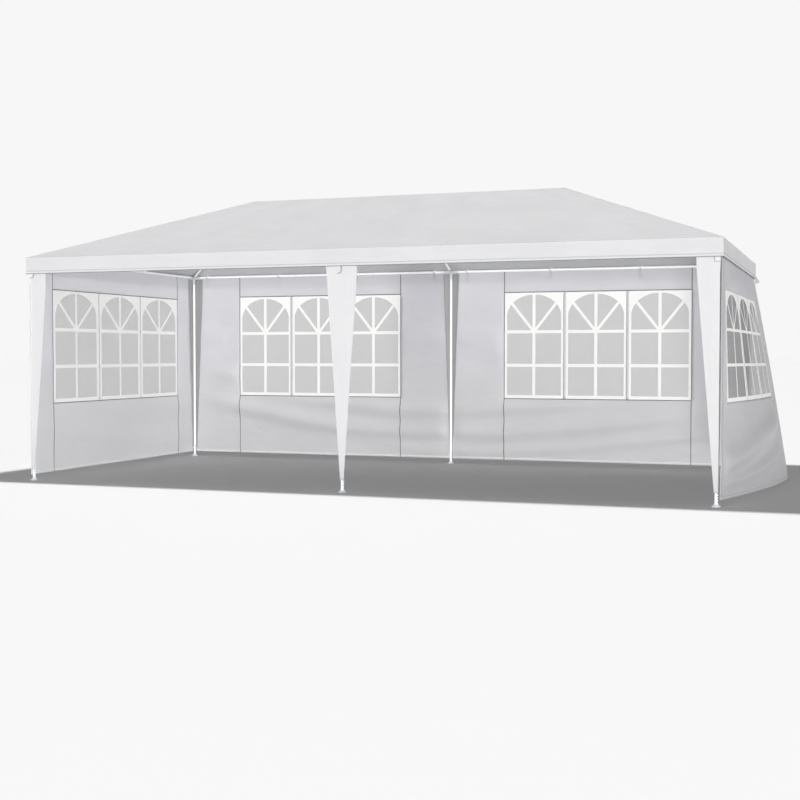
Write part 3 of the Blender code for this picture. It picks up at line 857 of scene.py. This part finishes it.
def window_row(name, node, lattice):
    """The three windows of one wall, the strips between them and the clear film behind the bars."""
    row = ROWS[name]
    pitch = window_width(row) + row.strip
    body = bmesh.new()
    for number in (-1, 0, 1):
        before = set(body.verts)
        body.from_mesh(lattice)
        cloth = body.loops.layers.uv.verify()
        fresh = [corner for corner in body.verts if corner not in before]
        shift = row.shift + number * pitch
        for face in {face for corner in fresh for face in corner.link_faces}:
            for loop in face.loops:
                loop[cloth].uv = (loop.vert.co.x + shift, loop.vert.co.y)
        for corner in fresh:
            corner.co = wall_point(name, corner.co.x + shift, corner.co.y, WALL_DEPTH + corner.co.z)
    white = make(f"{node}_frames", body, (window_look, window_inner_shade_look), soft=False)
    strips = bmesh.new()
    lap = 0.002
    for s in (row.shift - pitch / 2, row.shift + pitch / 2):
        low_high = (row.low_z + 0.001, row.high_z - 0.001)
        half = row.strip / 2 + lap
        band(strips, name, (s - half, s + half), low_high, WALL_DEPTH, (2, 40), 0)
    lines = make(f"{node}_divides", strips, strip_look, thick=0.0032)
    sheet = bmesh.new()

    def film(u, t):
        return wall_point(name, row.shift + mix(-row.half, row.half, u), mix(row.low_z, row.high_z, t), WALL_DEPTH)

    grid(sheet, 60, 32, film, (2 * row.half, row.high_z - row.low_z))
    bmesh.ops.recalc_face_normals(sheet, faces=sheet.faces)
    face_out(sheet, WALLS[name][1])
    # The outer face takes the darker painted-shade copy of the film
    clear = make(f"{node}_film", sheet, (clear_film_outer_shade_look, clear_look), thick=FILM)
    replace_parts(clear, node.replace("_wall", "_window") if "rear" not in node else "rear_window_" + node[10:])
    return white, lines, clear


# ---------------------------------------------------------------- leg covers

# The middle covers' width and the corner covers' arms at the top, narrower on the rear legs
COVER_TOP = {"front": (0.29, 0.185), "rear": (0.165, 0.12)}


def cover_depth(up):
    """Clears the joint at the top and lies against the leg below it."""
    return mix(0.0153, 0.0222, ease((up - 0.86) / 0.12))


def middle_cover(name, sign, top_width):
    body = bmesh.new()
    seed = 11 + sign

    def place(u, t):
        width = mix(0.030, top_width, t)
        spread = 2 * u - 1
        curl = 0.010 * width / top_width * spread * spread
        z = mix(0.10, 1.935, t)
        fold = 0.0022 * math.sin(spread * 4.2 + 0.6 * math.sin(z * 2.3)) * width / top_width
        fold += 0.0016 * wander(spread * width, z, 0.10, seed) * min(1, width / 0.1)
        edge = 0.004 * wander(z, sign, 0.35, seed + 5) * spread * width / top_width
        depth = cover_depth(t) - curl + max(-0.002, fold) * (1 - spread * spread)
        return Vector((-sign * (spread * width / 2 + edge), sign * (LEG_Y + depth), z))

    grid(body, 24, 80, place, (top_width, 1.835))
    bmesh.ops.recalc_face_normals(body, faces=body.faces)
    face_out(body, Vector((0, sign, 0)))
    # The inner face takes the dark grey painted shade
    piece = make(
        f"{name}_cloth", body, (cover_cloth_look, cover_inside_shade_look), thick=COVER_CLOTH, offset=-1
    )
    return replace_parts(piece, name)


def ribbon(body, points, width, place):
    """A narrow band along a line of flat points, laid on a cover by place(x, z)."""
    for start, end in zip(points, points[1:]):
        start, end = Vector(start), Vector(end)
        way = (end - start).normalized()
        side = Vector((-way.y, way.x))

        def put(u, t, start=start, end=end, side=side):
            at = start.lerp(end, u) + side * width * (t - 0.5)
            return place(at.x, at.y)

        grid(body, 6, 1, put, ((end - start).length, width))


def cover_marks(name, sign):
    """The slit in the top of a middle cover, with its short hook to one side, as a dark band: painted shade."""
    body = bmesh.new()

    def place(x, z):
        return Vector((x, sign * (LEG_Y + 0.0262), z))

    ribbon(body, ((0.002, 1.8265), (0.002, 1.778), (-0.030, 1.764)), 0.0045, place)
    bmesh.ops.recalc_face_normals(body, faces=body.faces)
    return make(f"{name}_slit", body, seam_and_slit_shade_look, thick=0.0012, offset=0)


def corner_tab(name, end, sign):
    """The tie tab that peeks out below the valance at a front corner, edged with a dark line."""
    patch = bmesh.new()
    edge = bmesh.new()
    low_z, high_z = 1.793, 1.845
    inner, outer = LEG_X - 0.030, LEG_X + 0.016

    def place(x, z):
        return Vector((end * x, sign * (LEG_Y + 0.0256), z))

    def lay(u, t):
        return place(mix(inner + 0.008 * (1 - t), outer, u), mix(low_z, high_z, t))

    grid(patch, 4, 4, lay, (outer - inner, high_z - low_z))
    ribbon(edge, ((inner, high_z), (inner + 0.008, low_z), (outer, low_z)), 0.0036, place)
    for body in (patch, edge):
        bmesh.ops.recalc_face_normals(body, faces=body.faces)
    make(f"{name}_tab", patch, webbing_look, thick=0.0012, offset=0)
    make(f"{name}_tab_edge", edge, shadow_line_and_tab_edge_look, thick=0.0018, offset=0)


def corner_loop(name, end, sign):
    """The folded webbing end that sticks out below the valance at a rear corner, grey as painted shade."""
    body = bmesh.new()
    corner = Vector((end * (ROOF_HALF_LENGTH - 0.004), sign * (ROOF_HALF_WIDTH - 0.012), 0))
    spots = ((0.0, 1.862), (0.046, 1.796), (0.000, 1.776))
    for lift in (0.0, 0.005):
        corners = [body.verts.new(corner + Vector((end * out, sign * lift, z))) for out, z in spots]
        body.faces.new(corners)
    bmesh.ops.recalc_face_normals(body, faces=body.faces)
    # Its grey, darker than the white webbing, is painted shade under the eave corner
    return make(f"{name}_loop", body, strip_look, soft=False, thick=0.0016, offset=0)


def face_out(body, outward):
    total = Vector()
    for face in body.faces:
        total += face.normal * face.calc_area()
    if total.dot(outward) < 0:
        bmesh.ops.reverse_faces(body, faces=body.faces)


def corner_cover(name, end, sign, top_arm):
    body = bmesh.new()
    seed = 20 + 3 * end + sign
    round_corner = 0.010

    def place(u, t):
        arm = mix(0.032, top_arm, t)
        z = mix(0.10, 1.935, t)
        depth = cover_depth(t)
        straight = arm - round_corner
        turn_length = math.pi * round_corner / 2
        run = (u - 0.5) * (2 * straight + turn_length)
        fold = 0.0020 * math.sin(abs(run) * 46) * ease(abs(run) / 0.08)
        fold += 0.0014 * wander(run, z, 0.10, seed) * ease(abs(run) / 0.05)
        if abs(run) <= turn_length / 2:
            angle = math.pi / 4 + run / round_corner
            x = depth - round_corner + round_corner * math.cos(angle)
            y = depth - round_corner + round_corner * math.sin(angle)
        elif run > 0:
            x = depth - round_corner - (run - turn_length / 2)
            y = depth + max(-0.001, fold)
        else:
            x = depth + max(-0.001, fold)
            y = depth - round_corner - (-run - turn_length / 2)
        return Vector((end * (LEG_X + x), sign * (LEG_Y + y), z))

    grid(body, 32, 80, place, (2 * top_arm, 1.835))
    bmesh.ops.recalc_face_normals(body, faces=body.faces)
    face_out(body, Vector((end, sign, 0)))
    # The inner face takes the dark grey painted shade
    piece = make(
        f"{name}_cloth", body, (cover_cloth_look, cover_inside_shade_look), thick=COVER_CLOTH, offset=-1
    )
    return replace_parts(piece, name)


# ---------------------------------------------------------------- small parts


def leg_holes(name, x, y):
    """The row of adjusting holes above a leg's foot, as flat dark discs: painted shade inside the holes."""
    body = bmesh.new()
    facing = math.radians(-50)
    for number in range(5):
        z = 0.034 + 0.0205 * number
        corners = []
        for step in range(14):
            turn = 2 * math.pi * step / 14
            angle = facing + 0.0046 * math.cos(turn) / TUBE_RADIUS
            out = TUBE_RADIUS + 0.0002
            corners.append(
                body.verts.new((x + out * math.cos(angle), y + out * math.sin(angle), z + 0.0036 * math.sin(turn)))
            )
        body.faces.new(corners)
    bmesh.ops.recalc_face_normals(body, faces=body.faces)
    return make(f"{name}_holes", body, hole_shade_look, thick=0.0006, offset=0)


def joint_buttons(name, centre, ways):
    """A spring button near the end of each sleeve, on its lower or inner side."""
    body = bmesh.new()
    for way in ways:
        way = way.normalized()
        under = Vector((0, -math.copysign(1, centre.y), 0)) if abs(way.z) > 0.9 else -UP
        under = (under - way * under.dot(way)).normalized()
        at = centre + way * 0.058 + under * SLEEVE_RADIUS
        bmesh.ops.create_uvsphere(
            body, u_segments=12, v_segments=8, radius=0.0036, matrix=Matrix.Translation(at)
        )
    return make(f"{name}_buttons", body, steel_look)


def wall_straps(name, node):
    """Webbing that loops round the eave tube and is sewn to the top of the wall."""
    centre, outward, length, swings = WALLS[name]
    along = UP.cross(outward)
    body = bmesh.new()
    round_length = 2 * math.pi * STRAP_RADIUS
    for share in TAB_SHARES:
        middle = centre + along * (length * (share - 0.5)) + UP * EAVE_Z

        def put(u, t, middle=middle):
            at = middle + along * STRAP_WIDTH * (t - 0.5)
            if u < 0.2:
                tail = u / 0.2
                return at + outward * mix(WALL_DEPTH - 0.0012, STRAP_RADIUS, tail) - UP * mix(0.020, 0.0, tail)
            turn = 2 * math.pi * (u - 0.2) / 0.8
            return at + outward * STRAP_RADIUS * math.cos(turn) + UP * STRAP_RADIUS * math.sin(turn)

        grid(body, 30, 2, put, (round_length + 0.024, STRAP_WIDTH))
    bmesh.ops.recalc_face_normals(body, faces=body.faces)
    return make(f"{node}_straps", body, webbing_look, thick=0.0010, offset=0)


# ---------------------------------------------------------------- build


roof = roof_cloth()
roof_tapes = roof_seams()
roof_bands = valance_bands()

lattices = {row: window_lattice(row) for row in (REAR_ROW, LEFT_ROW, RIGHT_ROW)}
for name, row in ROWS.items():
    node = f"rear_wall_{name[5:]}" if name.startswith("rear_") else f"{name}_wall"
    cloth = wall_cloth(name, node)
    trims = wall_trims(name, node)
    trims.append(wall_straps(name, node))
    frames, lines, clear = window_row(name, node, lattices[row])

for side, sign in SIDES:
    width, arm = COVER_TOP[side]
    cover = middle_cover(f"leg_cover_{side}_middle", sign, width)
    for end, turn in ENDS:
        cover = corner_cover(f"leg_cover_{side}_{end}", turn, sign, arm)

cover_marks("leg_cover_front_middle", -1)
for end, turn in ENDS:
    corner_tab(f"leg_cover_front_{end}", turn, -1)
    corner_loop(f"valance_rear_{end}", turn, 1)
ridge_z = ROOF_EDGE_Z + ROOF_SLOPE * ROOF_HALF_WIDTH - 0.026
ridge_x = {"left": -RIDGE_HALF_LENGTH, "middle": 0.0, "right": RIDGE_HALF_LENGTH}
for side, sign in SIDES:
    for spot, x in SPOTS:
        leg_holes(f"leg_{side}_{spot}", x, sign * LEG_Y)
        centre = Vector((x, sign * LEG_Y, EAVE_Z))
        ways = [-UP, Vector((ridge_x[spot], 0, ridge_z)) - centre]
        if spot == "middle":
            ways += [Vector((1, 0, 0)), Vector((-1, 0, 0))]
        else:
            ways += [Vector((-x, 0, 0)), Vector((0, -sign, 0))]
        joint_buttons(f"eave_joint_{side}_{spot}", centre, ways)

for name, node in nodes.items():
    if name.startswith(("leg_front", "leg_rear", "eave_tube", "hip_", "middle_", "ridge_tube")):
        node.material_slots[0].material = tube_look
    elif "joint" in name:
        node.material_slots[0].material = joint_look
    elif name.startswith("foot"):
        node.material_slots[0].material = foot_look

# ---------------------------------------------------------------- floor, light and camera

floor_body = bmesh.new()
bmesh.ops.create_grid(floor_body, x_segments=1, y_segments=1, size=400)
floor_mesh = bpy.data.meshes.new("floor")
floor_body.to_mesh(floor_mesh)
floor_body.free()
floor = bpy.data.objects.new("floor", floor_mesh)
bpy.context.scene.collection.objects.link(floor)
floor_look, floor_tree, floor_shader = new_look("pale_floor", (0.64, 0.64, 0.64), 0.9)
floor_shader.inputs["Specular IOR Level"].default_value = 0.1
floor_mesh.materials.append(floor_look)

world = bpy.data.worlds.new("pale_room")
bpy.context.scene.world = world
world.use_nodes = True
tree = world.node_tree
tree.nodes.clear()
out = add(tree, "ShaderNodeOutputWorld")
soft_light = add(tree, "ShaderNodeBackground")
soft_light.inputs["Color"].default_value = (0.99, 0.99, 1.0, 1)
soft_light.inputs["Strength"].default_value = 0.34
seen = add(tree, "ShaderNodeBackground")
seen.inputs["Color"].default_value = (1, 1, 1, 1)
seen.inputs["Strength"].default_value = 0.93
switch = add(tree, "ShaderNodeMixShader")
path = add(tree, "ShaderNodeLightPath")
tree.links.new(path.outputs["Is Camera Ray"], switch.inputs["Fac"])
tree.links.new(soft_light.outputs["Background"], switch.inputs[1])
tree.links.new(seen.outputs["Background"], switch.inputs[2])
tree.links.new(switch.outputs["Shader"], out.inputs["Surface"])


def linked(name, pieces, state):
    """A group of pieces for a lamp, which takes in or leaves out all of them."""
    group = bpy.data.collections.new(name)
    for piece in pieces:
        group.objects.link(piece)
    for entry in group.collection_objects:
        entry.light_linking.link_state = state
    return group


def sun(name, strength, direction, spread, passes=(), only=(), shaded_by=()):
    """A distant soft lamp, which may pass some pieces, light only some, or be shaded by only some."""
    lamp = bpy.data.lights.new(name, "SUN")
    lamp.energy = strength
    lamp.angle = math.radians(spread)
    holder = bpy.data.objects.new(name, lamp)
    holder.rotation_euler = Vector(direction).to_track_quat("-Z", "Y").to_euler()
    bpy.context.scene.collection.objects.link(holder)
    if passes:
        holder.light_linking.blocker_collection = linked(f"{name}_passes", passes, "EXCLUDE")
    if shaded_by:
        holder.light_linking.blocker_collection = linked(f"{name}_shades", shaded_by, "INCLUDE")
    if only:
        holder.light_linking.receiver_collection = linked(f"{name}_only", only, "INCLUDE")
    return holder


# A shade ring above the eaves widens the ground shadow, as a studio flag does
SHADE_LOW = (-3.75, -1.80)
SHADE_HIGH = (3.70, 2.35)
SHADE_Z = 2.62
SHADE_GAP = 0.004
SHADE_SHIFT = (0.013, 0.020)
ring = bmesh.new()
bmesh.ops.create_grid(ring, x_segments=3, y_segments=3, size=0.5)
hole_x, hole_y = ROOF_HALF_LENGTH + SHADE_GAP, ROOF_HALF_WIDTH + SHADE_GAP
lines_x = (SHADE_LOW[0], -hole_x - SHADE_SHIFT[0], hole_x - SHADE_SHIFT[0], SHADE_HIGH[0])
lines_y = (SHADE_LOW[1], -hole_y - SHADE_SHIFT[1], hole_y - SHADE_SHIFT[1], SHADE_HIGH[1])
for corner in ring.verts:
    column = round((corner.co.x + 0.5) * 3)
    row = round((corner.co.y + 0.5) * 3)
    corner.co = Vector((lines_x[column], lines_y[row], SHADE_Z)) + TENT_MIDDLE
inner = [face for face in ring.faces if (face.calc_center_median() - TENT_MIDDLE).xy.length < 0.5]
bmesh.ops.delete(ring, geom=inner, context="FACES")
ring_mesh = bpy.data.meshes.new("shade_ring")
ring.to_mesh(ring_mesh)
ring.free()
shade_ring = bpy.data.objects.new("shade_ring", ring_mesh)
bpy.context.scene.collection.objects.link(shade_ring)
ring_mesh.materials.append(floor_look)
for sight in ("camera", "diffuse", "glossy", "transmission"):
    setattr(shade_ring, f"visible_{sight}", False)

inside_faces = [
    piece
    for piece in bpy.context.scene.objects
    if piece.name.startswith(("left_wall_", "rear_wall_", "leg_cover_rear")) and not piece.hide_render
]
tubes = [
    node
    for name, node in nodes.items()
    if name.startswith(("leg_rear", "leg_front", "eave_tube", "hip_", "middle_"))
]
sun("overhead", 1.75, (0.02, 0.03, -1), 4)
sun("floor_light", 1.68, (0.02, 0.03, -1), 4, only=(floor,))
sun("front_fill", 1.60, (-0.12, 1.0, 0.08), 12, passes=(floor, shade_ring))
sun("left_fill", 1.35, (1.0, 0.1, 0.02), 25, passes=(floor, shade_ring))
sun("right_fill", 0.77, (-1.0, 0.05, -0.12), 25, passes=(floor, shade_ring))
sun("inside_fill", 1.52, (-1.0, 0.25, 0.1), 25, only=inside_faces, shaded_by=inside_faces)
sun("inside_rake", 1.4, (-0.2, 0.45, -1.0), 6, only=inside_faces, shaded_by=inside_faces)
sun("tube_fill", 1.5, (-0.65, 0.7, 0.25), 20, only=tubes, shaded_by=tubes)

photo_camera = bpy.data.cameras.new("photo_camera")
photo_camera.sensor_width = 36
photo_camera.lens = 57.58
camera = bpy.data.objects.new("photo_camera", photo_camera)
camera.location = (3.7722, -11.0387, 1.1148)
camera.rotation_euler = (math.pi / 2 - 0.0355, 0, 0.3457)
photo_camera.clip_end = 1000
bpy.context.scene.collection.objects.link(camera)
bpy.context.scene.camera = camera
bpy.context.scene.view_settings.view_transform = "Standard"
bpy.context.scene.view_settings.look = "None"
